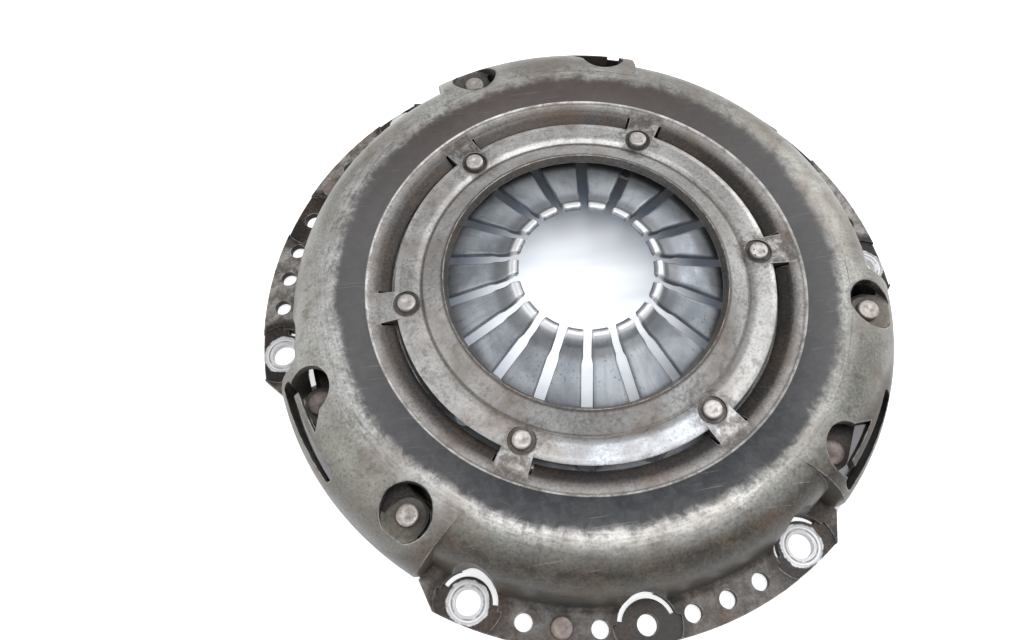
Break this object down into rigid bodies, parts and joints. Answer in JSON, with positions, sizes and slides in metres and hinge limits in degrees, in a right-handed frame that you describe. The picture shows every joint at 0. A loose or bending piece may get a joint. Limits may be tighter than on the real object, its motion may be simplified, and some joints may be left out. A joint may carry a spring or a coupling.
{
  "type": "clutch pressure plate",
  "caption": "Diaphragm-spring clutch cover: domed steel pressing with bolt flange, slotted spring with raised finger tips, and a cast plate that slides on leaf straps.",
  "frame": {"origin": "on the clutch axis, in the face that bolts to the flywheel", "axes": "+Z along the clutch axis towards the gearbox, +X through a flange bolt hole"},
  "size_m": [0.266, 0.259, 0.0424],
  "materials": {
    "cover_steel": "worn",
    "plate_iron": "machined",
    "spring_steel": "satin",
    "wire_steel": "satin",
    "ring_rivet_steel": "worn",
    "strap_steel": "satin",
    "strap_rivet_steel": "worn",
    "balance_rivet_steel": "worn"
  },
  "bodies": {
    "cover_assembly": {"cover": "cover_steel", "diaphragm_spring": "spring_steel", "upper_fulcrum_ring": "wire_steel", "lower_fulcrum_ring": "wire_steel", "ring_rivet_1": "ring_rivet_steel", "ring_rivet_2": "ring_rivet_steel", "ring_rivet_3": "ring_rivet_steel", "ring_rivet_4": "ring_rivet_steel", "ring_rivet_5": "ring_rivet_steel", "ring_rivet_6": "ring_rivet_steel", "strap_1_leaf_1": "strap_steel", "strap_1_leaf_2": "strap_steel", "strap_1_leaf_3": "strap_steel", "strap_2_leaf_1": "strap_steel", "strap_2_leaf_2": "strap_steel", "strap_2_leaf_3": "strap_steel", "strap_3_leaf_1": "strap_steel", "strap_3_leaf_2": "strap_steel", "strap_3_leaf_3": "strap_steel", "cover_strap_rivet_1": "strap_rivet_steel", "cover_strap_rivet_2": "strap_rivet_steel", "cover_strap_rivet_3": "strap_rivet_steel", "balance_rivet_1": "balance_rivet_steel", "balance_rivet_2": "balance_rivet_steel"},
    "plate_assembly": {"pressure_plate": "plate_iron", "plate_strap_rivet_1": "strap_rivet_steel", "plate_strap_rivet_2": "strap_rivet_steel", "plate_strap_rivet_3": "strap_rivet_steel"}
  },
  "joints": [
    {"name": "plate_lift", "type": "slide", "parent": "cover_assembly", "child": "plate_assembly", "axis": [0, 0, 1], "range_m": [0, 0.007], "stiffness_N_per_m": 20000, "springref_m": -0.002, "deforming": ["diaphragm_spring", "strap_1_leaf_1", "strap_1_leaf_2", "strap_1_leaf_3", "strap_2_leaf_1", "strap_2_leaf_2", "strap_2_leaf_3", "strap_3_leaf_1", "strap_3_leaf_2", "strap_3_leaf_3"]}
  ]
}
